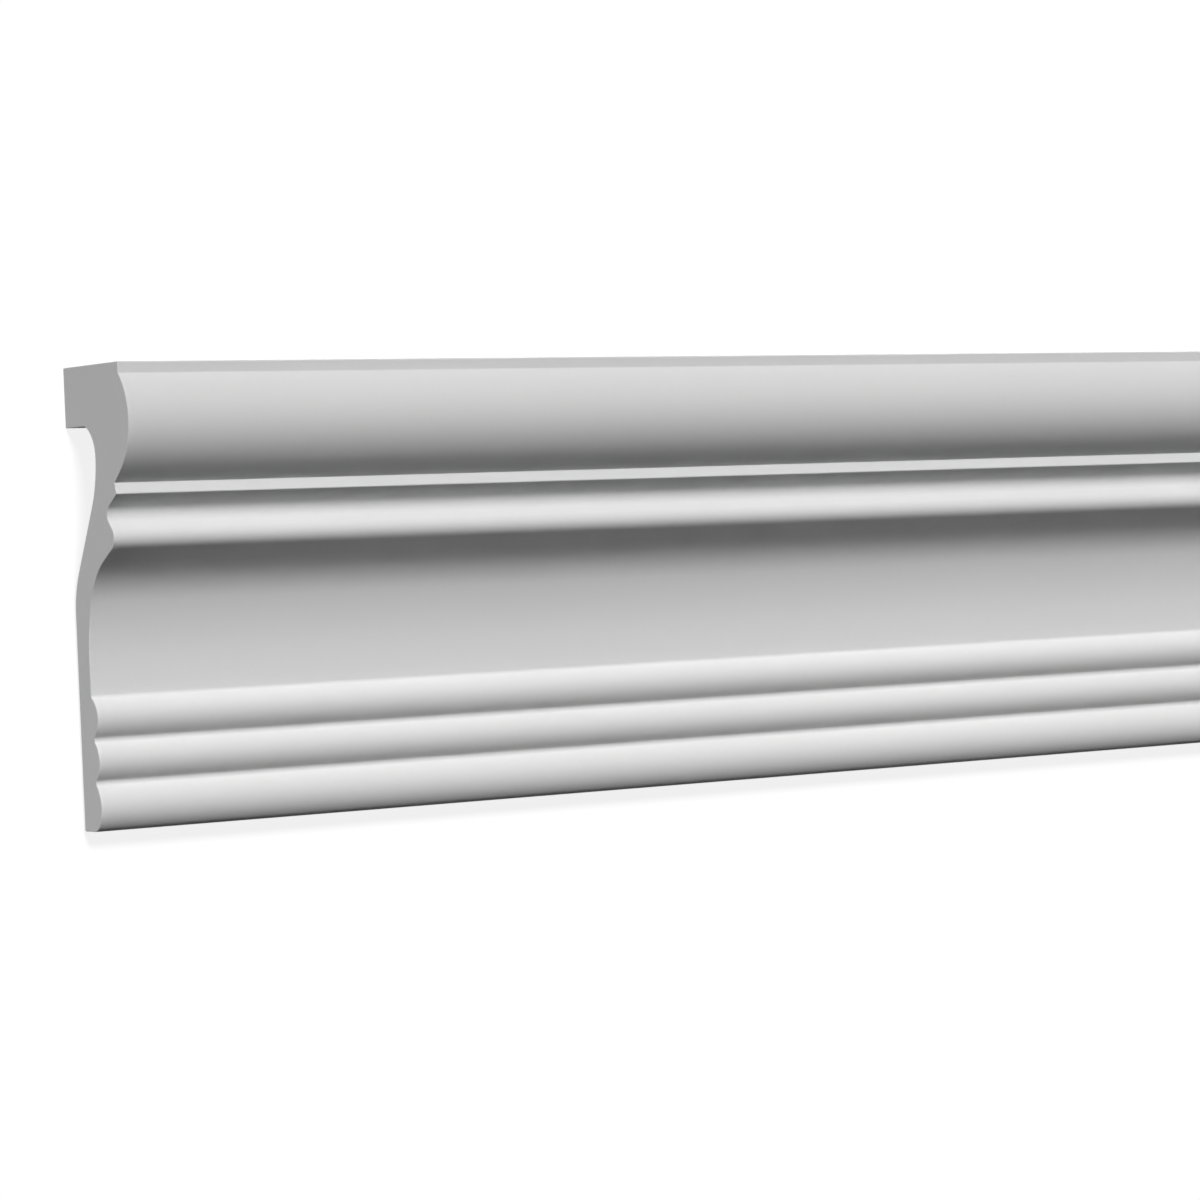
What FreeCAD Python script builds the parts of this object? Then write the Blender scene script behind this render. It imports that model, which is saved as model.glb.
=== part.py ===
import FreeCAD, Part
import math
import os

import Sketcher

# Dado rail: one length of white moulding with a plain section from end to end.
# X runs along the rail, Y goes up its face to the top edge, and Z comes out of the wall.
# The rail lies on its back. The wall face of its top block is at Z = 0.

# Sizes in millimetres and degrees. A width is the height of a member up the face, and the members
# stack from the bottom edge. A projection is measured out from the wall face.
sizes = {
    "railLength": 2000.0,
    "lowerReedWidth": 12.7,
    "reedWidth": 11.0,
    "flatWidth": 8.2,
    "coveWidth": 32.45,
    "scotiaWidth": 11.15,
    "smallFilletWidth": 2.85,
    "torusWidth": 27.65,
    "topFilletWidth": 3.0,
    "heelProjection": 7.8,
    "grooveProjection": 7.6,
    "faceProjection": 7.5,
    "reedProjection": 10.7,
    "beadProjection": 23.65,
    "smallFilletProjection": 25.85,
    "topFilletProjection": 29.3,
    "torusProjection": 33.95,
    "coveFootRadius": 61.7,
    "coveRadius": 17.9,
    "coveSlope": 57.9,
    "beadRadius": 3.4,
    "quirkSlope": 43.25,
    "scotiaRadius": 2.85,
    "scotiaDepth": 3.25,
    "smallFilletLean": 0.9,
    "torusRunLength": 3.4,
    "legRecess": 1.1,
    "kneeRise": 13.2,
    "kneeRadius": 23.4,
    "hollowProjection": 15.35,
    "hollowRadius": 28.4,
    "hollowDrop": 8.1,
    "blockWidth": 15.6,
    "blockUnderside": 10.3,
    "heelRadius": 3.0,
    "grooveRadius": 1.2,
    "quirkRadius": 0.6,
    "arrisRadius": 0.4,
}

document = FreeCAD.newDocument("DadoRail")
sheet = document.addObject("Spreadsheet::Sheet", "Sizes")
for row, (name, value) in enumerate(sizes.items(), 1):
    sheet.set(f"A{row}", name)
    sheet.set(f"B{row}", str(value))
    sheet.setAlias(f"B{row}", name)
document.recompute()


def size(name):
    return float(sheet.get(name))


# Heights of the members' edges above the bottom edge
lowerGroove = size("lowerReedWidth")
upperGroove = lowerGroove + size("reedWidth")
reedTop = upperGroove + size("reedWidth")
coveFoot = reedTop + size("flatWidth")
beadCrown = coveFoot + size("coveWidth")
smallFilletBottom = beadCrown + size("scotiaWidth")
smallFilletTop = smallFilletBottom + size("smallFilletWidth")
torusTop = smallFilletTop + size("torusWidth")
railTop = torusTop + size("topFilletWidth")
blockBottom = railTop - size("blockWidth")
hollowCrown = blockBottom - size("hollowDrop")
kneeFoot = coveFoot + size("kneeRise")

# Points and arcs of the section, as (height, projection)
halfTurn = math.degrees(math.pi)


def point(up, out):
    return FreeCAD.Vector(up, out, 0)


def onCircle(centre, radius, angle):
    # The angle is in degrees from straight out, positive towards the top edge.
    turn = math.radians(angle)
    return point(centre.x + radius * math.sin(turn), centre.y + radius * math.cos(turn))


def touchingArc(low, high, projection, run=0):
    # Centre and radius of the arc that ends at the high point and just reaches a projection.
    # It starts at the low point, or touches a straight run that leaves the low point.
    lowRise = projection - low.y
    highRise = projection - high.y
    span = high.x - low.x
    a = highRise - lowRise
    b = 2 * lowRise * span
    c = -lowRise * (span ** 2 + highRise ** 2 - highRise * lowRise) - highRise * run ** 2
    crownOffset = -2 * c / (b + math.sqrt(b ** 2 - 4 * a * c))
    radius = (crownOffset ** 2 + lowRise ** 2 - run ** 2) / (2 * lowRise)
    return point(low.x + crownOffset, projection - radius), radius


def angleOf(centre, place):
    # Degrees from straight out, positive towards the top edge
    return math.degrees(math.atan2(place.x - centre.x, place.y - centre.y))


bottomBack = point(0, size("legRecess"))
bottomFront = point(0, size("heelProjection"))
lowerGroovePoint = point(lowerGroove, size("grooveProjection"))
upperGroovePoint = point(upperGroove, size("grooveProjection"))
reedTopPoint = point(reedTop, size("faceProjection"))
coveFootPoint = point(coveFoot, size("faceProjection"))
smallFilletLow = point(smallFilletBottom, size("smallFilletProjection"))
smallFilletHigh = point(smallFilletTop, size("smallFilletProjection") - size("smallFilletLean"))
torusHigh = point(torusTop, size("topFilletProjection"))
topFront = point(railTop, size("topFilletProjection"))
topBack = point(railTop, 0)
blockCorner = point(blockBottom, 0)
undersideCorner = point(blockBottom, size("blockUnderside"))
hollowCrownPoint = point(hollowCrown, size("hollowProjection"))
kneeFootPoint = point(kneeFoot, size("legRecess"))

# The bead, and the quirk that runs from it into the scotia
beadCentre = point(beadCrown, size("beadProjection") - size("beadRadius"))
beadTop = onCircle(beadCentre, size("beadRadius"), size("quirkSlope"))
beadBottom = onCircle(beadCentre, size("beadRadius"), -size("coveSlope"))
quirk = math.radians(size("quirkSlope"))
roundedDepth = (size("beadRadius") + size("scotiaRadius")) * (1 - math.cos(quirk))
quirkLength = (size("scotiaDepth") - roundedDepth) / math.sin(quirk)
scotiaBottom = beadTop + point(math.cos(quirk), -math.sin(quirk)) * quirkLength
scotiaCentre = onCircle(scotiaBottom, size("scotiaRadius"), size("quirkSlope"))
reach = smallFilletLow - scotiaCentre
scotiaRunSlope = math.degrees(math.atan2(reach.y, reach.x) + math.asin(size("scotiaRadius") / reach.Length))
scotiaTop = onCircle(scotiaCentre, size("scotiaRadius"), halfTurn - scotiaRunSlope)

# The cove touches the run below the bead and the wide arc at its foot
coveFootCentre = coveFootPoint + point(0, size("coveFootRadius"))
offsetPoint = onCircle(beadBottom, size("coveRadius"), -size("coveSlope"))
runDirection = point(math.cos(math.radians(size("coveSlope"))), math.sin(math.radians(size("coveSlope"))))
fromFoot = offsetPoint - coveFootCentre
alongRun = fromFoot.dot(runDirection)
centreGap = size("coveFootRadius") - size("coveRadius")
stepBack = alongRun + math.sqrt(alongRun ** 2 - fromFoot.Length ** 2 + centreGap ** 2)
coveCentre = offsetPoint - runDirection * stepBack
coveTop = onCircle(coveCentre, size("coveRadius"), halfTurn - size("coveSlope"))
coveJoin = onCircle(coveFootCentre, size("coveFootRadius"), angleOf(coveFootCentre, coveCentre))

# The torus leaves its short straight run without a corner
torusRun = size("torusRunLength")
torusCentre, torusRadius = touchingArc(smallFilletHigh, torusHigh, size("torusProjection"), torusRun)
toTorus = torusCentre - smallFilletHigh
aside = point(-toTorus.y, toTorus.x)
torusLow = smallFilletHigh + (toTorus * torusRun + aside * torusRadius) * torusRun / toTorus.Length ** 2

# The throat and the hollow meet at the hollow's crown, and a straight slope runs down to the knee
hollowCentre = hollowCrownPoint - point(0, size("hollowRadius"))
kneeCentre = kneeFootPoint + point(0, size("kneeRadius"))
between = hollowCentre - kneeCentre
radiusShare = (size("hollowRadius") + size("kneeRadius")) / between.Length
backSlope = math.degrees(math.atan2(between.y, between.x) + math.asin(radiusShare))
hollowBottom = onCircle(hollowCentre, size("hollowRadius"), -backSlope)
kneeTop = onCircle(kneeCentre, size("kneeRadius"), halfTurn - backSlope)
throatRise = size("hollowProjection") - size("blockUnderside")
throatRadius = (size("hollowDrop") ** 2 + throatRise ** 2) / (2 * throatRise)
throatCentre = hollowCrownPoint - point(0, throatRadius)

# The rail is one body: the section is drawn on the end plane and padded both ways along X
rail = document.addObject("PartDesign::Body", "dado_rail")
rail.Label = "dado_rail"
endPlane = [feature for feature in rail.Origin.OriginFeatures if feature.Role == "YZ_Plane"][0]
section = rail.newObject("Sketcher::SketchObject", "Section")
section.AttachmentSupport = [(endPlane, "")]
section.MapMode = "FlatFace"
memberWidths = (
    "lowerReedWidth", "reedWidth", "reedWidth", "flatWidth", "coveWidth",
    "scotiaWidth", "smallFilletWidth", "torusWidth", "topFilletWidth",
)
railWidth = " + ".join(f"Sizes.{name}" for name in memberWidths)
section.setExpression("AttachmentOffset.Base.x", f"-({railWidth}) / 2")

# The sketch's own numbers for a side's start, end and centre, and for the axes of height and wall
start, end, middle = range(1, 4)
heightAxis, wallAxis = -1, -2
origin = (heightAxis, start)

# Each side of the outline is kept with the numbers of its first and last point
sides = {}


def addLine(name, first, last):
    sides[name] = (section.addGeometry(Part.LineSegment(first, last), False), start, end)


def addArc(name, centre, radius, first, last, clockwise):
    circle = Part.Circle(centre, FreeCAD.Vector(0, 0, 1), radius)
    low, high = (last, first) if clockwise else (first, last)
    arc = Part.ArcOfCircle(circle, circle.parameter(low), circle.parameter(high))
    added = section.addGeometry(arc, False)
    sides[name] = (added, end, start) if clockwise else (added, start, end)


def addReed(name, low, high):
    centre, radius = touchingArc(low, high, size("reedProjection"))
    addArc(name, centre, radius, low, high, True)


def addGuide(low, high, projection):
    return section.addGeometry(Part.LineSegment(point(low, projection), point(high, projection)), True)


def number(name):
    return sides[name][0]


def firstOf(name):
    return sides[name][0], sides[name][1]


def lastOf(name):
    return sides[name][0], sides[name][2]


def centreOf(name):
    return sides[name][0], middle


def constrain(kind, *places):
    section.addConstraint(Sketcher.Constraint(kind, *places))


def measure(kind, places, drawn, name, expression):
    # A dimension is added at its drawn value and then bound to the sheet.
    constraint = section.addConstraint(Sketcher.Constraint(kind, *places, drawn))
    section.renameConstraint(constraint, name)
    section.setExpression(f"Constraints.{name}", expression)


addLine("bottomFace", bottomBack, bottomFront)
addReed("lowerReed", bottomFront, lowerGroovePoint)
addReed("middleReed", lowerGroovePoint, upperGroovePoint)
addReed("upperReed", upperGroovePoint, reedTopPoint)
addLine("flat", reedTopPoint, coveFootPoint)
addArc("coveFoot", coveFootCentre, size("coveFootRadius"), coveFootPoint, coveJoin, False)
addArc("cove", coveCentre, size("coveRadius"), coveJoin, coveTop, False)
addLine("coveRun", coveTop, beadBottom)
addArc("bead", beadCentre, size("beadRadius"), beadBottom, beadTop, True)
addLine("quirkRun", beadTop, scotiaBottom)
addArc("scotia", scotiaCentre, size("scotiaRadius"), scotiaBottom, scotiaTop, False)
addLine("scotiaRun", scotiaTop, smallFilletLow)
addLine("smallFillet", smallFilletLow, smallFilletHigh)
addLine("torusRun", smallFilletHigh, torusLow)
addArc("torus", torusCentre, torusRadius, torusLow, torusHigh, True)
addLine("topFillet", torusHigh, topFront)
addLine("topEdge", topFront, topBack)
addLine("wallFace", topBack, blockCorner)
addLine("blockUnderside", blockCorner, undersideCorner)
addArc("throat", throatCentre, throatRadius, undersideCorner, hollowCrownPoint, False)
addArc("hollow", hollowCentre, size("hollowRadius"), hollowCrownPoint, hollowBottom, False)
addLine("backSlope", hollowBottom, kneeTop)
addArc("knee", kneeCentre, size("kneeRadius"), kneeTop, kneeFootPoint, True)
addLine("legBack", kneeFootPoint, bottomBack)

# Neighbours meet at a corner, or smoothly where the moulding has none
smoothJoins = {"flat", "coveFoot", "cove", "coveRun", "bead", "quirkRun", "scotia", "torusRun",
               "throat", "hollow", "backSlope", "knee"}
names = list(sides)
for name, following in zip(names, names[1:] + names[:1]):
    joint = "Tangent" if name in smoothJoins else "Coincident"
    constrain(joint, *lastOf(name), *firstOf(following))

for name in ("flat", "topFillet", "wallFace", "legBack"):
    constrain("Horizontal", number(name))
for name in ("bottomFace", "topEdge", "blockUnderside"):
    constrain("Vertical", number(name))
constrain("PointOnObject", *firstOf("bottomFace"), wallAxis)
constrain("PointOnObject", *lastOf("topEdge"), heightAxis)
constrain("Vertical", *centreOf("throat"), *lastOf("throat"))

# Lines that the reeds and the torus just reach
reedLine = addGuide(0, reedTop, size("reedProjection"))
torusLine = addGuide(smallFilletTop, torusTop, size("torusProjection"))
for line, low, high in ((reedLine, "lowerReed", "upperReed"), (torusLine, "torusRun", "torus")):
    constrain("Horizontal", line)
    constrain("Vertical", line, start, *firstOf(low))
    constrain("Vertical", line, end, *lastOf(high))
for name in ("lowerReed", "middleReed", "upperReed"):
    constrain("Tangent", number(name), reedLine)
constrain("Tangent", number("torus"), torusLine)

# Heights up the face
acrossHeights = (
    ("lowerReedSpan", firstOf("lowerReed"), lastOf("lowerReed"), "Sizes.lowerReedWidth"),
    ("middleReedSpan", firstOf("middleReed"), lastOf("middleReed"), "Sizes.reedWidth"),
    ("upperReedSpan", firstOf("upperReed"), lastOf("upperReed"), "Sizes.reedWidth"),
    ("flatSpan", firstOf("flat"), lastOf("flat"), "Sizes.flatWidth"),
    ("coveSpan", lastOf("flat"), centreOf("bead"), "Sizes.coveWidth"),
    ("scotiaSpan", centreOf("bead"), lastOf("scotiaRun"), "Sizes.scotiaWidth"),
    ("smallFilletSpan", firstOf("smallFillet"), lastOf("smallFillet"), "Sizes.smallFilletWidth"),
    ("torusSpan", lastOf("smallFillet"), lastOf("torus"), "Sizes.torusWidth"),
    ("topFilletSpan", firstOf("topFillet"), lastOf("topFillet"), "Sizes.topFilletWidth"),
    ("blockSpan", lastOf("wallFace"), firstOf("wallFace"), "Sizes.blockWidth"),
    ("hollowSpan", lastOf("throat"), firstOf("throat"), "Sizes.hollowDrop"),
    ("kneeSpan", lastOf("flat"), lastOf("knee"), "Sizes.kneeRise"),
)
for name, low, high, expression in acrossHeights:
    drawn = section.getPoint(*high).x - section.getPoint(*low).x
    measure("DistanceX", (*low, *high), drawn, name, expression)

# Projections from the wall
projections = (
    ("legRecessReach", firstOf("bottomFace"), "Sizes.legRecess"),
    ("heelReach", lastOf("bottomFace"), "Sizes.heelProjection"),
    ("lowerGrooveReach", lastOf("lowerReed"), "Sizes.grooveProjection"),
    ("upperGrooveReach", lastOf("middleReed"), "Sizes.grooveProjection"),
    ("faceReach", lastOf("upperReed"), "Sizes.faceProjection"),
    ("reedReach", (reedLine, start), "Sizes.reedProjection"),
    ("beadReach", centreOf("bead"), "Sizes.beadProjection - Sizes.beadRadius"),
    ("scotiaReach", centreOf("scotia"), "Sizes.beadProjection - Sizes.scotiaDepth + Sizes.scotiaRadius"),
    ("smallFilletReach", firstOf("smallFillet"), "Sizes.smallFilletProjection"),
    ("smallFilletBack", lastOf("smallFillet"), "Sizes.smallFilletProjection - Sizes.smallFilletLean"),
    ("torusReach", (torusLine, start), "Sizes.torusProjection"),
    ("topFilletReach", lastOf("torus"), "Sizes.topFilletProjection"),
    ("undersideReach", lastOf("blockUnderside"), "Sizes.blockUnderside"),
    ("hollowReach", lastOf("throat"), "Sizes.hollowProjection"),
)
for name, place, expression in projections:
    measure("DistanceY", (*origin, *place), section.getPoint(*place).y, name, expression)

# Radii, slopes and the length of the torus's straight run
radii = (
    ("coveFoot", "coveFootRadius"),
    ("cove", "coveRadius"),
    ("bead", "beadRadius"),
    ("scotia", "scotiaRadius"),
    ("hollow", "hollowRadius"),
    ("knee", "kneeRadius"),
)
for name, alias in radii:
    measure("Radius", (number(name),), size(alias), alias, f"Sizes.{alias}")
measure("Angle", (number("coveRun"),), math.radians(size("coveSlope")), "coveSlope", "Sizes.coveSlope")
measure("Angle", (number("quirkRun"),), -quirk, "quirkSlope", "-Sizes.quirkSlope")
measure("Distance", (number("torusRun"),), size("torusRunLength"), "torusRunLength", "Sizes.torusRunLength")

length = rail.newObject("PartDesign::Pad", "Length")
length.Profile = section
length.SideType = "Symmetric"
length.setExpression("Length", "Sizes.railLength")
document.recompute()


def longEdges(shape, corners):
    # Names of the edges that run the rail's length through these points of the section
    found = []
    for count, edge in enumerate(shape.Edges, 1):
        near = edge.Vertexes[0].Point
        far = edge.Vertexes[-1].Point
        if abs(far.x - near.x) < size("railLength") / 2:
            continue
        for corner in corners:
            if math.hypot(near.y + railTop / 2 - corner.x, near.z - corner.y) < size("arrisRadius") / 2:
                found.append(f"Edge{count}")
    return found


def roundCorners(name, radius, corners):
    # One fillet feature on top of the body's last one
    base = rail.Tip
    fillet = rail.newObject("PartDesign::Fillet", name)
    fillet.Base = (base, longEdges(base.Shape, corners))
    if len(fillet.Base[1]) != len(corners):
        raise RuntimeError(f"{name} has a corner without an edge along the rail")
    fillet.setExpression("Radius", f"Sizes.{radius}")
    rail.Tip = fillet
    document.recompute()


roundCorners("Grooves", "grooveRadius", (lowerGroovePoint, upperGroovePoint, reedTopPoint))
roundCorners("Heel", "heelRadius", (bottomFront,))
roundCorners("Quirk", "quirkRadius", (torusHigh,))
roundCorners("Arrises", "arrisRadius", (smallFilletLow, topFront, topBack, blockCorner, bottomBack))

# Every feature is sound before the file is written
for feature in document.Objects:
    if "Invalid" in feature.State or "Error" in feature.State:
        raise RuntimeError(f"{feature.Name} did not recompute: {feature.State}")
if section.solve() != 0:
    raise RuntimeError("The section's sketch does not solve")
if rail.Shape.isNull() or not rail.Shape.isValid() or len(rail.Shape.Solids) != 1:
    raise RuntimeError("The rail is not one sound solid")

box = rail.Shape.optimalBoundingBox()
print(f"rail {box.XLength:.2f} x {box.YLength:.2f} x {box.ZLength:.2f} mm")
print(f"section {rail.Shape.Volume / size('railLength'):.1f} mm2, all sizes set: {section.FullyConstrained}")

os.makedirs("parts", exist_ok=True)
rail.Shape.exportStep(f"parts/{rail.Label}.step")
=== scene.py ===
import math

import bmesh
import bpy
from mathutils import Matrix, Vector


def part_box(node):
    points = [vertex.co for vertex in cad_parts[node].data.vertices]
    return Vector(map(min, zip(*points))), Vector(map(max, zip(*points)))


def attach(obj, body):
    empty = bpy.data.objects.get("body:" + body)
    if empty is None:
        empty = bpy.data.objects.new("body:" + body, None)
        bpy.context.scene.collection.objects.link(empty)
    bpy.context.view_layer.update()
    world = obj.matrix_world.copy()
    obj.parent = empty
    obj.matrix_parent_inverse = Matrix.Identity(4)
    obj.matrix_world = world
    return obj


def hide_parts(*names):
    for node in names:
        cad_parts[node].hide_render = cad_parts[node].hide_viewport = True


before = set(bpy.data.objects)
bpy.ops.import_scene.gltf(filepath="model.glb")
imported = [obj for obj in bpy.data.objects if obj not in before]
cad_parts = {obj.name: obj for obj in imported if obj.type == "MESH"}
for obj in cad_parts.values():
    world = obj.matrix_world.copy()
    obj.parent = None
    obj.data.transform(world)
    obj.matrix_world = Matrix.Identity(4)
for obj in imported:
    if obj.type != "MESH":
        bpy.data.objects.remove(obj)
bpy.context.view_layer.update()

# Looks of the dado rail, in metres. X runs along it, Y up its face and Z out of the wall.
# It lies on its back, so the camera looks down on its face.
halfTurn = 180  # degrees
millimetre = 0.001  # the bump heights are in millimetres


# The rail: its section is drawn at the left end, filled, and pulled out to the full length
rail = {
    "node": "dado_rail",
    "body": "root",
    "slot": "white_primed_polymer",
    "lowerReed": 0.0127,  # widths up the face, from the bottom edge
    "reed": 0.0110,
    "flat": 0.0082,
    "cove": 0.03245,
    "scotia": 0.01115,
    "smallFillet": 0.00285,
    "torus": 0.02765,
    "topFillet": 0.0030,
    "heelOut": 0.0078,  # projections from the wall
    "grooveOut": 0.0076,
    "faceOut": 0.0075,
    "reedOut": 0.0107,
    "beadOut": 0.02365,
    "smallFilletOut": 0.02585,
    "smallFilletLean": 0.0009,
    "topFilletOut": 0.0293,
    "torusOut": 0.03395,
    "coveFootRadius": 0.0617,
    "coveRadius": 0.0179,
    "coveSlope": 57.9,  # degrees from the wall
    "beadRadius": 0.0034,
    "quirkSlope": 43.25,
    "scotiaRadius": 0.00285,
    "scotiaDepth": 0.00325,
    "torusRun": 0.0034,
    "legRecess": 0.0011,  # the back
    "kneeRise": 0.0132,
    "kneeRadius": 0.0234,
    "hollowOut": 0.01535,
    "hollowRadius": 0.0284,
    "hollowDrop": 0.0081,
    "block": 0.0156,
    "underside": 0.0103,
    "heelRadius": 0.0030,  # corners
    "grooveRadius": 0.0012,
    "quirkRadius": 0.0006,
    "arrisRadius": 0.0004,
    "arrisSteps": 4,
    "endArris": 0.00025,
    "endArrisSteps": 2,
    "chordSag": 0.000004,  # how far a straight side may cut inside its arc
    "lengthCuts": 16,
    "cutSetBack": 0.004,  # the first cut in from each sawn end
    "smoothAngle": 32,
}
lowCorner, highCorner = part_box(rail["node"])


def spotAt(height, out):
    return Vector((height, out))


def onCircle(centre, radius, degrees):
    # degrees from straight out, positive towards the top edge
    turn = math.radians(degrees)
    return centre + radius * Vector((math.sin(turn), math.cos(turn)))


def turnOf(centre, spot):
    return math.degrees(math.atan2(spot.x - centre.x, spot.y - centre.y))


def crownedArc(low, high, out, run=0):
    # centre and radius of the arc that ends at the high spot and just reaches a projection
    # it starts at the low spot, or touches a straight run that leaves the low spot
    lowRise = out - low.y
    highRise = out - high.y
    span = high.x - low.x
    a = highRise - lowRise
    b = 2 * lowRise * span
    c = -lowRise * (span ** 2 + highRise ** 2 - highRise * lowRise) - highRise * run ** 2
    crown = -2 * c / (b + math.sqrt(b ** 2 - 4 * a * c))
    radius = (crown ** 2 + lowRise ** 2 - run ** 2) / (2 * lowRise)
    return spotAt(low.x + crown, out - radius), radius


def easeToFlat(centre, radius, face, ease):
    # centre of the small arc that eases a round member into the flat one above it
    out = face + ease
    return spotAt(centre.x + math.sqrt((radius + ease) ** 2 - (out - centre.y) ** 2), out)


def easeBetween(low, lowRadius, high, highRadius, ease):
    # centre of the small arc that eases one reed into the next
    lowReach = lowRadius + ease
    highReach = highRadius + ease
    gap = high - low
    along = (gap.length_squared + lowReach ** 2 - highReach ** 2) / (2 * gap.length)
    aside = math.sqrt(lowReach ** 2 - along ** 2)
    forward = gap.normalized()
    return low + along * forward + aside * Vector((-forward.y, forward.x))


def touchOf(centre, radius, otherCentre):
    return centre + radius * (otherCentre - centre).normalized()


# Heights of the members' edges
lowerGroove = rail["lowerReed"]
upperGroove = lowerGroove + rail["reed"]
reedTop = upperGroove + rail["reed"]
coveFootHeight = reedTop + rail["flat"]
beadHeight = coveFootHeight + rail["cove"]
smallFilletBottom = beadHeight + rail["scotia"]
smallFilletTop = smallFilletBottom + rail["smallFillet"]
torusTop = smallFilletTop + rail["torus"]
railTop = torusTop + rail["topFillet"]

bottomBack = spotAt(0, rail["legRecess"])
bottomFront = spotAt(0, rail["heelOut"])
coveFootSpot = spotAt(coveFootHeight, rail["faceOut"])
smallFilletLow = spotAt(smallFilletBottom, rail["smallFilletOut"])
smallFilletHigh = spotAt(smallFilletTop, rail["smallFilletOut"] - rail["smallFilletLean"])
torusHigh = spotAt(torusTop, rail["topFilletOut"])
topFront = spotAt(railTop, rail["topFilletOut"])
topBack = spotAt(railTop, 0)
blockCorner = spotAt(railTop - rail["block"], 0)
undersideCorner = spotAt(railTop - rail["block"], rail["underside"])
hollowCrown = spotAt(undersideCorner.x - rail["hollowDrop"], rail["hollowOut"])
kneeFoot = spotAt(coveFootHeight + rail["kneeRise"], rail["legRecess"])

# Reeds, the grooves that part them, and the heel that turns the lowest one under
lowerGrooveSpot = spotAt(lowerGroove, rail["grooveOut"])
upperGrooveSpot = spotAt(upperGroove, rail["grooveOut"])
reedEnds = [bottomFront, lowerGrooveSpot, upperGrooveSpot, spotAt(reedTop, rail["faceOut"])]
reeds = [crownedArc(low, high, rail["reedOut"]) for low, high in zip(reedEnds, reedEnds[1:])]
grooves = [easeBetween(*low, *high, rail["grooveRadius"]) for low, high in zip(reeds, reeds[1:])]
grooves.append(easeToFlat(*reeds[-1], rail["faceOut"], rail["grooveRadius"]))
lowestCentre, lowestRadius = reeds[0]
heelReach = lowestRadius - rail["heelRadius"]
heelRise = math.sqrt(heelReach ** 2 - (rail["heelRadius"] - lowestCentre.x) ** 2)
heelCentre = spotAt(rail["heelRadius"], lowestCentre.y + heelRise)

# Bead and scotia, joined by a short straight run
beadCentre = spotAt(beadHeight, rail["beadOut"] - rail["beadRadius"])
beadHigh = onCircle(beadCentre, rail["beadRadius"], rail["quirkSlope"])
beadLow = onCircle(beadCentre, rail["beadRadius"], -rail["coveSlope"])
quirkTurn = math.radians(rail["quirkSlope"])
roundedDepth = (rail["beadRadius"] + rail["scotiaRadius"]) * (1 - math.cos(quirkTurn))
quirkRun = (rail["scotiaDepth"] - roundedDepth) / math.sin(quirkTurn)
scotiaLow = beadHigh + quirkRun * Vector((math.cos(quirkTurn), -math.sin(quirkTurn)))
scotiaCentre = onCircle(scotiaLow, rail["scotiaRadius"], rail["quirkSlope"])
reach = smallFilletLow - scotiaCentre
scotiaSlope = math.degrees(math.atan2(reach.y, reach.x) + math.asin(rail["scotiaRadius"] / reach.length))
scotiaHigh = onCircle(scotiaCentre, rail["scotiaRadius"], halfTurn - scotiaSlope)

# The cove touches the run below the bead and the wide arc at its foot
coveFootCentre = coveFootSpot + spotAt(0, rail["coveFootRadius"])
coveTurn = math.radians(rail["coveSlope"])
runDirection = Vector((math.cos(coveTurn), math.sin(coveTurn)))
runStart = onCircle(beadLow, rail["coveRadius"], -rail["coveSlope"])
fromFoot = runStart - coveFootCentre
alongRun = fromFoot.dot(runDirection)
centreGap = rail["coveFootRadius"] - rail["coveRadius"]
backAlongRun = alongRun + math.sqrt(alongRun ** 2 - fromFoot.length ** 2 + centreGap ** 2)
coveCentre = runStart - runDirection * backAlongRun
coveHigh = onCircle(coveCentre, rail["coveRadius"], halfTurn - rail["coveSlope"])
coveJoin = onCircle(coveFootCentre, rail["coveFootRadius"], turnOf(coveFootCentre, coveCentre))

# The torus leaves its short straight run without a corner
torusCentre, torusRadius = crownedArc(smallFilletHigh, torusHigh, rail["torusOut"], rail["torusRun"])
toTorus = torusCentre - smallFilletHigh
aside = Vector((-toTorus.y, toTorus.x))
runShare = rail["torusRun"] / toTorus.length_squared
torusLow = smallFilletHigh + (toTorus * rail["torusRun"] + aside * torusRadius) * runShare
torusQuirk = easeToFlat(torusCentre, torusRadius, rail["topFilletOut"], rail["quirkRadius"])

# The back: a throat, a hollow, a straight slope and a knee
hollowCentre = hollowCrown - spotAt(0, rail["hollowRadius"])
kneeCentre = kneeFoot + spotAt(0, rail["kneeRadius"])
between = hollowCentre - kneeCentre
radiusShare = (rail["hollowRadius"] + rail["kneeRadius"]) / between.length
backSlope = math.degrees(math.atan2(between.y, between.x) + math.asin(radiusShare))
hollowLow = onCircle(hollowCentre, rail["hollowRadius"], -backSlope)
kneeHigh = onCircle(kneeCentre, rail["kneeRadius"], halfTurn - backSlope)
throatRise = rail["hollowOut"] - rail["underside"]
throatRadius = (rail["hollowDrop"] ** 2 + throatRise ** 2) / (2 * throatRise)
throatCentre = hollowCrown - spotAt(0, throatRadius)

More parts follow.
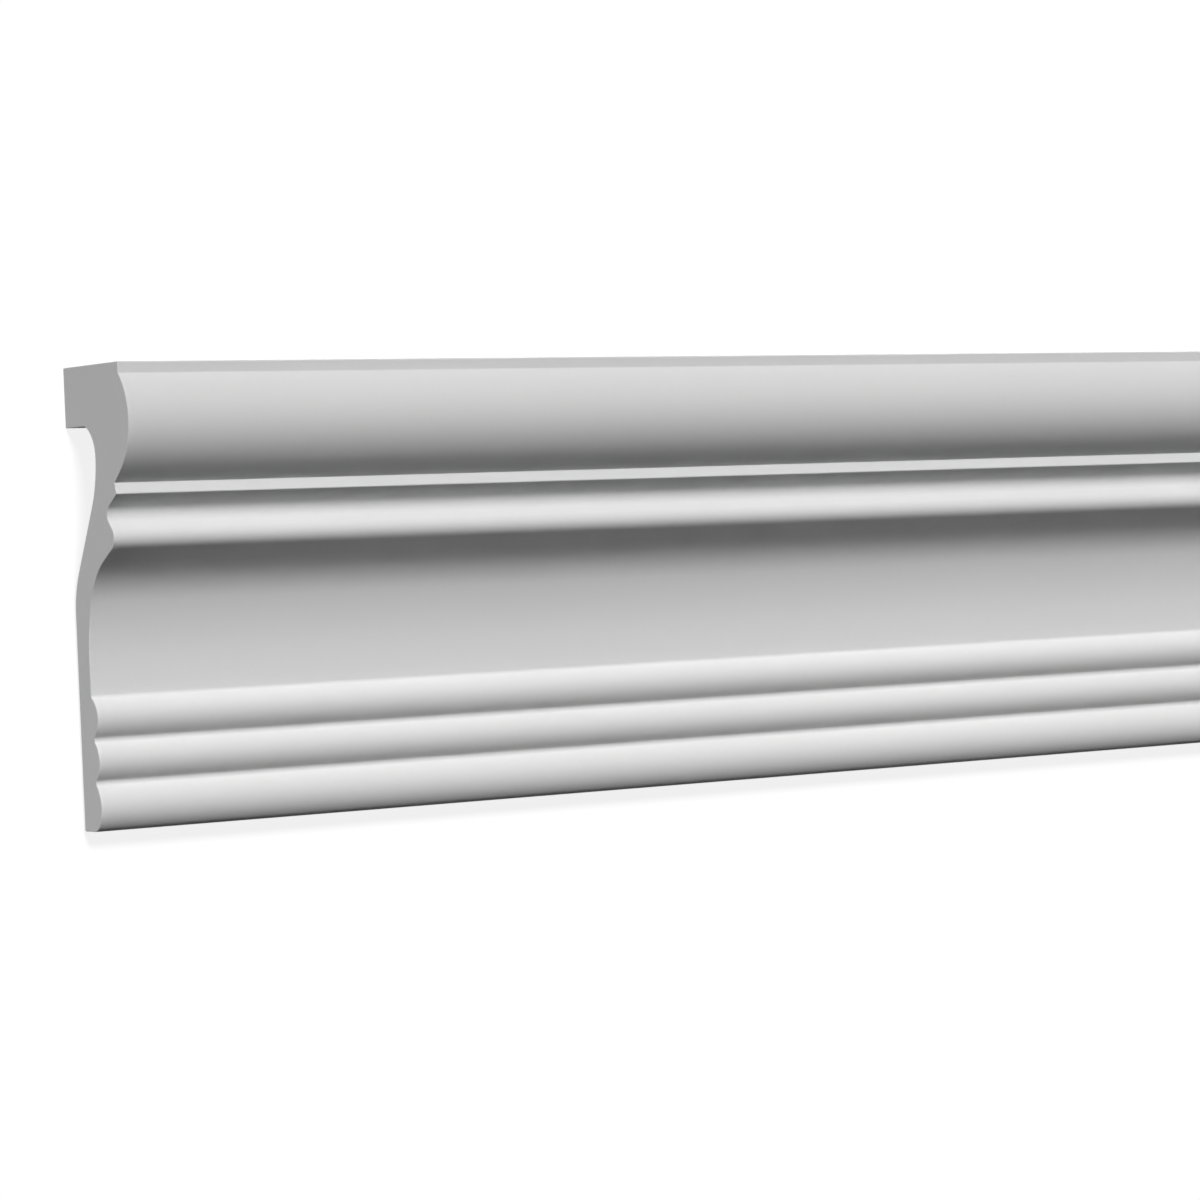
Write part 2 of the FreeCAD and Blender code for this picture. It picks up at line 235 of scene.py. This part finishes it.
# The outline, member by member: where each ends, and the centre it turns about if it is round
outline = [
    (spotAt(0, heelCentre.y), None),  # bottom face
    (touchOf(*reeds[0], heelCentre), heelCentre),  # heel
]
for reed, groove, nextReed in zip(reeds, grooves, reeds[1:]):
    outline.append((touchOf(*reed, groove), reed[0]))
    outline.append((touchOf(*nextReed, groove), groove))
outline += [
    (touchOf(*reeds[-1], grooves[-1]), reeds[-1][0]),  # top reed
    (spotAt(grooves[-1].x, rail["faceOut"]), grooves[-1]),  # its groove
    (coveFootSpot, None),  # flat
    (coveJoin, coveFootCentre),  # foot of the cove
    (coveHigh, coveCentre),  # cove
    (beadLow, None),
    (beadHigh, beadCentre),  # bead
    (scotiaLow, None),
    (scotiaHigh, scotiaCentre),  # scotia
    (smallFilletLow, None),
    (smallFilletHigh, None),  # small fillet
    (torusLow, None),
    (touchOf(torusCentre, torusRadius, torusQuirk), torusCentre),  # torus
    (spotAt(torusQuirk.x, rail["topFilletOut"]), torusQuirk),  # its quirk
    (topFront, None),  # top fillet
    (topBack, None),  # top edge
    (blockCorner, None),  # wall face
    (undersideCorner, None),
    (hollowCrown, throatCentre),  # throat
    (hollowLow, hollowCentre),  # hollow
    (kneeHigh, None),  # back slope
    (kneeFoot, kneeCentre),  # knee
    (bottomBack, None),  # back of the leg
]


def place(spot):
    # a spot of the section, stood on the rail's left end
    return Vector((lowCorner.x, lowCorner.y + spot.x, spot.y))


def selectOnly(kind, wanted):
    # selects the verts, edges or faces of the open mesh that pass a test
    bpy.ops.mesh.select_mode(type={"verts": "VERT", "edges": "EDGE", "faces": "FACE"}[kind])
    bpy.ops.mesh.select_all(action="DESELECT")
    openMesh = bmesh.from_edit_mesh(bpy.context.object.data)
    for element in getattr(openMesh, kind):
        element.select_set(wanted(element))
    openMesh.select_flush_mode()
    bmesh.update_edit_mesh(bpy.context.object.data)


def drawSection():
    # a plane is merged into one vertex, which is pushed and swung round the outline, then filled
    bpy.ops.object.select_all(action="DESELECT")
    bpy.ops.mesh.primitive_plane_add(size=rail["arrisRadius"], location=place(bottomBack))
    bpy.ops.object.transform_apply(location=True)
    bpy.ops.object.mode_set(mode="EDIT")
    bpy.ops.mesh.merge(type="CENTER")
    spot = bottomBack
    for end, centre in outline:
        if centre is None:
            bpy.ops.mesh.extrude_region_move(TRANSFORM_OT_translate={"value": place(end) - place(spot)})
        else:
            first = spot - centre
            last = end - centre
            turn = math.atan2(first.cross(last), first.dot(last))
            side = 2 * math.acos(1 - rail["chordSag"] / first.length)
            steps = math.ceil(abs(turn) / side)
            bpy.ops.mesh.spin(steps=steps, angle=-turn, center=place(centre), axis=(1, 0, 0))
        spot = end
    bpy.ops.mesh.select_all(action="SELECT")
    bpy.ops.mesh.remove_doubles(threshold=rail["chordSag"])
    bpy.ops.mesh.edge_face_add()


def roundCorner(spot):
    # a small arris on one outer corner of the filled section
    selectOnly("verts", lambda vert: (vert.co - place(spot)).length < rail["chordSag"])
    openMesh = bmesh.from_edit_mesh(bpy.context.object.data)
    corner = next(vert for vert in openMesh.verts if vert.select)
    sides = [edge.other_vert(corner).co - corner.co for edge in corner.link_edges]
    turn = math.pi - sides[0].angle(sides[1])
    bpy.ops.mesh.bevel(
        affect="VERTICES", offset=rail["arrisRadius"] * math.tan(turn / 2), segments=rail["arrisSteps"]
    )


def onSawnEnd(element):
    spots = [vert.co.x for vert in element.verts]
    return any(all(abs(x - end) < rail["chordSag"] for x in spots) for end in (lowCorner.x, highCorner.x))


def makeRail():
    drawSection()
    for spot in (bottomBack, smallFilletLow, topFront, topBack, blockCorner):
        roundCorner(spot)
    bpy.ops.mesh.select_mode(type="FACE")
    bpy.ops.mesh.select_all(action="SELECT")
    railLength = highCorner.x - lowCorner.x
    bpy.ops.mesh.extrude_region_move(TRANSFORM_OT_translate={"value": (railLength, 0, 0)})
    bpy.ops.mesh.select_all(action="SELECT")
    bpy.ops.mesh.normals_make_consistent(inside=False)
    firstCut = lowCorner.x + rail["cutSetBack"]
    cutSpan = railLength - 2 * rail["cutSetBack"]
    for count in range(rail["lengthCuts"]):
        bpy.ops.mesh.select_all(action="SELECT")
        bpy.ops.mesh.bisect(
            plane_co=(firstCut + cutSpan * count / (rail["lengthCuts"] - 1), 0, 0), plane_no=(1, 0, 0)
        )
    selectOnly("edges", onSawnEnd)
    bpy.ops.mesh.bevel(affect="EDGES", offset=rail["endArris"], segments=rail["endArrisSteps"])
    made = bpy.context.object
    made.name = made.data.name = "moulded_rail"
    for material in (primedFace, sawnEnd):
        made.data.materials.append(material)
    selectOnly("faces", onSawnEnd)
    made.active_material_index = list(made.data.materials).index(sawnEnd)
    bpy.ops.object.material_slot_assign()
    bpy.ops.object.mode_set(mode="OBJECT")
    bpy.ops.object.shade_smooth_by_angle(angle=math.radians(rail["smoothAngle"]))
    bpy.ops.object.modifier_add(type="WEIGHTED_NORMAL")  # so that the arrises leave the broad faces flat
    made.modifiers[-1].keep_sharp = True
    bpy.ops.object.modifier_apply(modifier=made.modifiers[-1].name)
    return made


# Small helpers for the node trees
def newNode(tree, kind, spot, **values):
    # a node at a spot on the canvas, with its sockets set by name (spaces left out)
    made = tree.nodes.new("ShaderNode" + kind)
    made.location = spot
    for name, value in values.items():
        named = [s for s in made.inputs if s.enabled and s.name.replace(" ", "") == name]
        named[0].default_value = value
    return made


def newGroup(name, takes, gives):
    # takes: socket name to kind and start value; gives: socket name to kind
    tree = bpy.data.node_groups.new(name, "ShaderNodeTree")
    for socketName, (kind, value) in takes.items():
        socket = tree.interface.new_socket(socketName, in_out="INPUT", socket_type="NodeSocket" + kind)
        if value is not None:
            socket.default_value = value
    for socketName, kind in gives.items():
        tree.interface.new_socket(socketName, in_out="OUTPUT", socket_type="NodeSocket" + kind)
    enter = tree.nodes.new("NodeGroupInput")
    leave = tree.nodes.new("NodeGroupOutput")
    enter.location = (-900, 0)
    leave.location = (700, 0)
    return tree, enter.outputs, leave.inputs


def placeGroup(tree, group, spot, **values):
    made = tree.nodes.new("ShaderNodeGroup")
    made.node_tree = group
    made.location = spot
    for name, value in values.items():
        made.inputs[name].default_value = value
    return made


def combine(tree, spot, first, second, operation="MULTIPLY"):
    made = newNode(tree, "Math", spot)
    made.operation = operation
    for socket, value in zip(made.inputs, (first, second)):
        if isinstance(value, (int, float)):
            socket.default_value = value
        else:
            tree.links.new(value, socket)
    return made.outputs[0]


def grainGroup():
    # height in millimetres of two sizes of grain, coarse for sprayed paint and fine for its pigment
    tree, takes, gives = newGroup(
        "rail_grain",
        {
            "Vector": ("Vector", None),
            "CoarseSize": ("Float", 600.0),
            "CoarseHeight": ("Float", 0.01),
            "FineSize": ("Float", 5000.0),
            "FineHeight": ("Float", 0.002),
        },
        {"Height": "Float"},
    )
    coarse = newNode(tree, "TexNoise", (-600, 150), Detail=2.0, Roughness=0.5)
    fine = newNode(tree, "TexNoise", (-600, -150), Detail=3.0, Roughness=0.6)
    for noise, size in ((coarse, "CoarseSize"), (fine, "FineSize")):
        tree.links.new(takes["Vector"], noise.inputs["Vector"])
        tree.links.new(takes[size], noise.inputs["Scale"])
    coarseHeight = combine(tree, (-300, 150), coarse.outputs[0], takes["CoarseHeight"])
    fineHeight = combine(tree, (-300, -150), fine.outputs[0], takes["FineHeight"])
    tree.links.new(combine(tree, (0, 0), coarseHeight, fineHeight, "ADD"), gives["Height"])
    return tree


def mottleGroup():
    # the paint's colour drifts a little over the rail, and again over each few millimetres
    tree, takes, gives = newGroup(
        "rail_mottle",
        {
            "Vector": ("Vector", None),
            "Colour": ("Color", (0.9, 0.9, 0.9, 1.0)),
            "Dull": ("Color", (0.86, 0.86, 0.86, 1.0)),
            "BroadSize": ("Float", 9.0),
            "SmallSize": ("Float", 160.0),
            "SmallShare": ("Float", 0.3),
        },
        {"Colour": "Color", "Mask": "Float"},
    )
    # a Mix node takes numbers at its sockets 2 and 3, and colours at 6 and 7
    broad = newNode(tree, "TexNoise", (-600, 150), Detail=3.0)
    small = newNode(tree, "TexNoise", (-600, -150), Detail=4.0)
    for noise, size in ((broad, "BroadSize"), (small, "SmallSize")):
        tree.links.new(takes["Vector"], noise.inputs["Vector"])
        tree.links.new(takes[size], noise.inputs["Scale"])
    blend = newNode(tree, "Mix", (-300, 0))  # the broad drift and the small one
    blend.data_type = "FLOAT"
    tree.links.new(takes["SmallShare"], blend.inputs[0])
    tree.links.new(broad.outputs[0], blend.inputs[2])
    tree.links.new(small.outputs[0], blend.inputs[3])
    spread = newNode(tree, "MapRange", (-100, 0), FromMin=0.3, FromMax=0.7)  # where the noise mostly lies
    tree.links.new(blend.outputs[0], spread.inputs[0])
    tint = newNode(tree, "Mix", (200, 0))
    tint.data_type = "RGBA"
    tree.links.new(spread.outputs[0], tint.inputs[0])
    tree.links.new(takes["Colour"], tint.inputs[6])
    tree.links.new(takes["Dull"], tint.inputs[7])
    tree.links.new(tint.outputs[2], gives["Colour"])
    tree.links.new(spread.outputs[0], gives["Mask"])
    return tree


def newMaterial(name):
    material = bpy.data.materials.new(name)
    material.use_nodes = True
    tree = material.node_tree
    shader = tree.nodes["Principled BSDF"]
    coordinates = newNode(tree, "TexCoord", (-1400, 0)).outputs["Object"]
    return material, tree, shader, coordinates


# The primed face: eggshell white, sprayed, over faint lines that the die leaves along the rail
primer = {
    "colour": (0.80, 0.80, 0.80, 1.0),
    "dull": (0.785, 0.785, 0.785, 1.0),
    "roughness": (0.55, 0.65),
    "gloss": 0.1,  # Specular IOR Level
    "peelSize": 520.0,
    "peelHeight": 0.012,  # millimetres
    "pigmentSize": 4200.0,
    "pigmentHeight": 0.0025,
    "dieLineSize": 900.0,
    "dieLineHeight": 0.0035,
    "dieLineStretch": 0.004,
    "broadSize": 11.0,  # the drift of its colour
    "smallSize": 240.0,
}


def makePrimedFace(grain, mottle):
    material, tree, shader, coordinates = newMaterial("white_primer")
    tone = placeGroup(
        tree, mottle, (-900, 300), Colour=primer["colour"], Dull=primer["dull"],
        BroadSize=primer["broadSize"], SmallSize=primer["smallSize"],
    )
    relief = placeGroup(
        tree, grain, (-900, -300), CoarseSize=primer["peelSize"], CoarseHeight=primer["peelHeight"],
        FineSize=primer["pigmentSize"], FineHeight=primer["pigmentHeight"],
    )
    stretch = newNode(tree, "Mapping", (-1150, -600), Scale=(primer["dieLineStretch"], 1, 1))
    lines = newNode(tree, "TexNoise", (-900, -600), Scale=primer["dieLineSize"], Detail=1.0)
    shine = newNode(tree, "MapRange", (-500, 50), ToMin=primer["roughness"][0], ToMax=primer["roughness"][1])
    bump = newNode(tree, "Bump", (-250, -300), Strength=1.0, Distance=millimetre)
    tree.links.new(coordinates, tone.inputs["Vector"])
    tree.links.new(coordinates, relief.inputs["Vector"])
    tree.links.new(coordinates, stretch.inputs["Vector"])
    tree.links.new(stretch.outputs[0], lines.inputs["Vector"])
    lineHeight = combine(tree, (-700, -600), lines.outputs[0], primer["dieLineHeight"])
    height = combine(tree, (-500, -400), relief.outputs["Height"], lineHeight, "ADD")
    tree.links.new(tone.outputs["Mask"], shine.inputs[0])
    tree.links.new(height, bump.inputs["Height"])
    tree.links.new(tone.outputs["Colour"], shader.inputs["Base Color"])
    tree.links.new(shine.outputs[0], shader.inputs["Roughness"])
    tree.links.new(bump.outputs[0], shader.inputs["Normal"])
    shader.inputs["Specular IOR Level"].default_value = primer["gloss"]
    return material


# The sawn ends: bare white foam with closed cells and the saw's fine strokes across it
sawnFoam = {
    "colour": (0.80, 0.80, 0.80, 1.0),
    "dull": (0.77, 0.77, 0.77, 1.0),
    "roughness": 0.78,
    "gloss": 0.2,  # Specular IOR Level
    "cellSize": 3200.0,
    "cellHeight": 0.03,  # millimetres
    "crumbSize": 1400.0,
    "crumbHeight": 0.02,
    "strokeSize": 1500.0,
    "strokeTilt": 24,  # degrees from the wall
    "strokeStretch": 0.04,
    "strokeHeight": 0.025,
    "broadSize": 60.0,  # the drift of its colour
    "smallSize": 1800.0,
    "smallShare": 0.6,
}


def makeSawnEnd(grain, mottle):
    material, tree, shader, coordinates = newMaterial("sawn_foam")
    tone = placeGroup(
        tree, mottle, (-900, 300), Colour=sawnFoam["colour"], Dull=sawnFoam["dull"],
        BroadSize=sawnFoam["broadSize"], SmallSize=sawnFoam["smallSize"], SmallShare=sawnFoam["smallShare"],
    )
    relief = placeGroup(
        tree, grain, (-900, -300), CoarseSize=sawnFoam["crumbSize"], CoarseHeight=sawnFoam["crumbHeight"],
        FineSize=sawnFoam["cellSize"], FineHeight=sawnFoam["cellHeight"],
    )
    tilt = newNode(
        tree, "Mapping", (-1150, -600), Rotation=(math.radians(sawnFoam["strokeTilt"]), 0, 0),
        Scale=(1, sawnFoam["strokeStretch"], 1),
    )
    strokes = newNode(tree, "TexNoise", (-900, -600), Scale=sawnFoam["strokeSize"], Detail=2.0)
    bump = newNode(tree, "Bump", (-250, -300), Strength=1.0, Distance=millimetre)
    tree.links.new(coordinates, tone.inputs["Vector"])
    tree.links.new(coordinates, relief.inputs["Vector"])
    tree.links.new(coordinates, tilt.inputs["Vector"])
    tree.links.new(tilt.outputs[0], strokes.inputs["Vector"])
    strokeHeight = combine(tree, (-700, -600), strokes.outputs[0], sawnFoam["strokeHeight"])
    height = combine(tree, (-500, -400), relief.outputs["Height"], strokeHeight, "ADD")
    tree.links.new(height, bump.inputs["Height"])
    tree.links.new(tone.outputs["Colour"], shader.inputs["Base Color"])
    shader.inputs["Roughness"].default_value = sawnFoam["roughness"]
    shader.inputs["Specular IOR Level"].default_value = sawnFoam["gloss"]
    tree.links.new(bump.outputs[0], shader.inputs["Normal"])
    return material


grain = grainGroup()
mottle = mottleGroup()
primedFace = makePrimedFace(grain, mottle)
sawnEnd = makeSawnEnd(grain, mottle)
print("materials made")

wholeRail = makeRail()
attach(wholeRail, rail["body"])
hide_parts(rail["node"])
print("rail made:", len(wholeRail.data.vertices), "points,", len(wholeRail.data.polygons), "faces")


# The camera looks down on the rail's left end from beyond it
camera = {
    "lens": 126.5,  # millimetres
    "sensor": 36,
    "location": (-1.5128, 0.0049, 0.9730),
    "turn": (1.1352, -34.8962, -2.9660),  # degrees
}


def makeCamera():
    turn = [math.radians(angle) for angle in camera["turn"]]
    bpy.ops.object.camera_add(location=camera["location"], rotation=turn)
    made = bpy.context.object
    made.data.sensor_width = camera["sensor"]
    made.data.lens = camera["lens"]
    bpy.context.scene.camera = made


# A pale floor that looks white to the camera but keeps the rail's shadow, in a white room
studio = {
    "floorSize": 60.0,
    "floorGap": 0.0001,
    "floorColour": (0.1, 0.1, 0.1, 1.0),  # for the light that it sends back to the rail
    "seenColour": (0.25, 0.25, 0.25, 1.0),  # for the camera, with the glow added
    "seenGlow": 0.86,
    "roomColour": (1.0, 1.0, 1.0, 1.0),
    "roomLevel": 0.0,  # the room is seen white, but doesn't light the rail
}


def whenSeen(tree, spot):
    # 1 for rays from the camera or off gloss, 0 for the rays that light things
    path = newNode(tree, "LightPath", spot)
    rays = [path.outputs[kind] for kind in ("Is Camera Ray", "Is Glossy Ray", "Is Transmission Ray")]
    seen = combine(tree, (spot[0] + 200, spot[1]), rays[0], rays[1], "MAXIMUM")
    return combine(tree, (spot[0] + 400, spot[1]), seen, rays[2], "MAXIMUM")


def makeFloor():
    bpy.ops.mesh.primitive_plane_add(size=studio["floorSize"], location=(0, 0, -studio["floorGap"]))
    floor = bpy.context.object
    floor.name = "floor"
    material = bpy.data.materials.new("pale_floor")
    material.use_nodes = True
    tree = material.node_tree
    tree.nodes.clear()
    lit = newNode(tree, "BsdfDiffuse", (0, 200), Color=studio["floorColour"])
    seenLit = newNode(tree, "BsdfDiffuse", (0, 0), Color=studio["seenColour"])
    glow = newNode(tree, "Emission", (0, -200), Strength=studio["seenGlow"])
    seen = newNode(tree, "AddShader", (250, -50))
    choose = newNode(tree, "MixShader", (500, 100))
    out = newNode(tree, "OutputMaterial", (750, 100))
    tree.links.new(seenLit.outputs[0], seen.inputs[0])
    tree.links.new(glow.outputs[0], seen.inputs[1])
    tree.links.new(whenSeen(tree, (-500, 400)), choose.inputs[0])
    tree.links.new(lit.outputs[0], choose.inputs[1])
    tree.links.new(seen.outputs[0], choose.inputs[2])
    tree.links.new(choose.outputs[0], out.inputs[0])
    floor.data.materials.append(material)
    return floor


def makeWorld():
    world = bpy.data.worlds.new("white_room")
    bpy.context.scene.world = world
    world.use_nodes = True
    tree = world.node_tree
    background = tree.nodes["Background"]
    background.inputs["Color"].default_value = studio["roomColour"]
    level = newNode(tree, "MapRange", (-200, 0), ToMin=studio["roomLevel"], ToMax=1.0)
    tree.links.new(whenSeen(tree, (-900, 0)), level.inputs[0])
    tree.links.new(level.outputs[0], background.inputs["Strength"])


# Long soft boxes light the face from past its top edge, aimed a little past its bottom edge,
# and a small low one faces each end. The rim lamp casts no shadow, so it reaches into the scotia.
# Turns and beams are in degrees, sizes in metres and powers in watts.
lamps = {
    "key": {
        "location": (0, 1.375, 2.382), "turn": (-38, 0, 0), "size": (8.0, 0.6),
        "beam": 40, "power": 15.7, "shadow": True,
    },
    "rim": {
        "location": (0, 1.978, 1.910), "turn": (-58, 0, 0), "size": (8.0, 0.6),
        "beam": 40, "power": 28.8, "shadow": False,
    },
    "left": {
        "location": (-4.0, 0, 0.12), "turn": (0, -87.7, 0), "size": (0.2, 0.5),
        "beam": halfTurn, "power": 33.0, "shadow": True,
    },
    "right": {
        "location": (4.0, 0, 0.12), "turn": (0, 87.7, 0), "size": (0.2, 0.5),
        "beam": halfTurn, "power": 33.0, "shadow": True,
    },
}
floorSun = {
    "location": (0, 0, 1), "turn": (-30, -12, 0),
    "blur": 14, "power": 2.2,  # degrees across, and watts on a square metre
}


def addLamp(name, kind, lamp, lit):
    # light linking keeps each lamp to the piece that it is there for
    turn = [math.radians(angle) for angle in lamp["turn"]]
    bpy.ops.object.light_add(type=kind, location=lamp["location"], rotation=turn)
    made = bpy.context.object
    made.name = name
    made.data.energy = lamp["power"]
    made.light_linking.receiver_collection = bpy.data.collections.new(name + "_lights")
    made.light_linking.receiver_collection.objects.link(lit)
    return made.data


def makeLamps(floor):
    for name, lamp in lamps.items():
        light = addLamp(name, "AREA", lamp, wholeRail)
        light.shape = "RECTANGLE"
        light.size, light.size_y = lamp["size"]
        light.spread = math.radians(lamp["beam"])
        light.use_shadow = lamp["shadow"]
    light = addLamp("floor_sun", "SUN", floorSun, floor)
    light.angle = math.radians(floorSun["blur"])


makeCamera()
floor = makeFloor()
makeWorld()
makeLamps(floor)
bpy.context.scene.view_settings.view_transform = "Standard"
print("studio made")
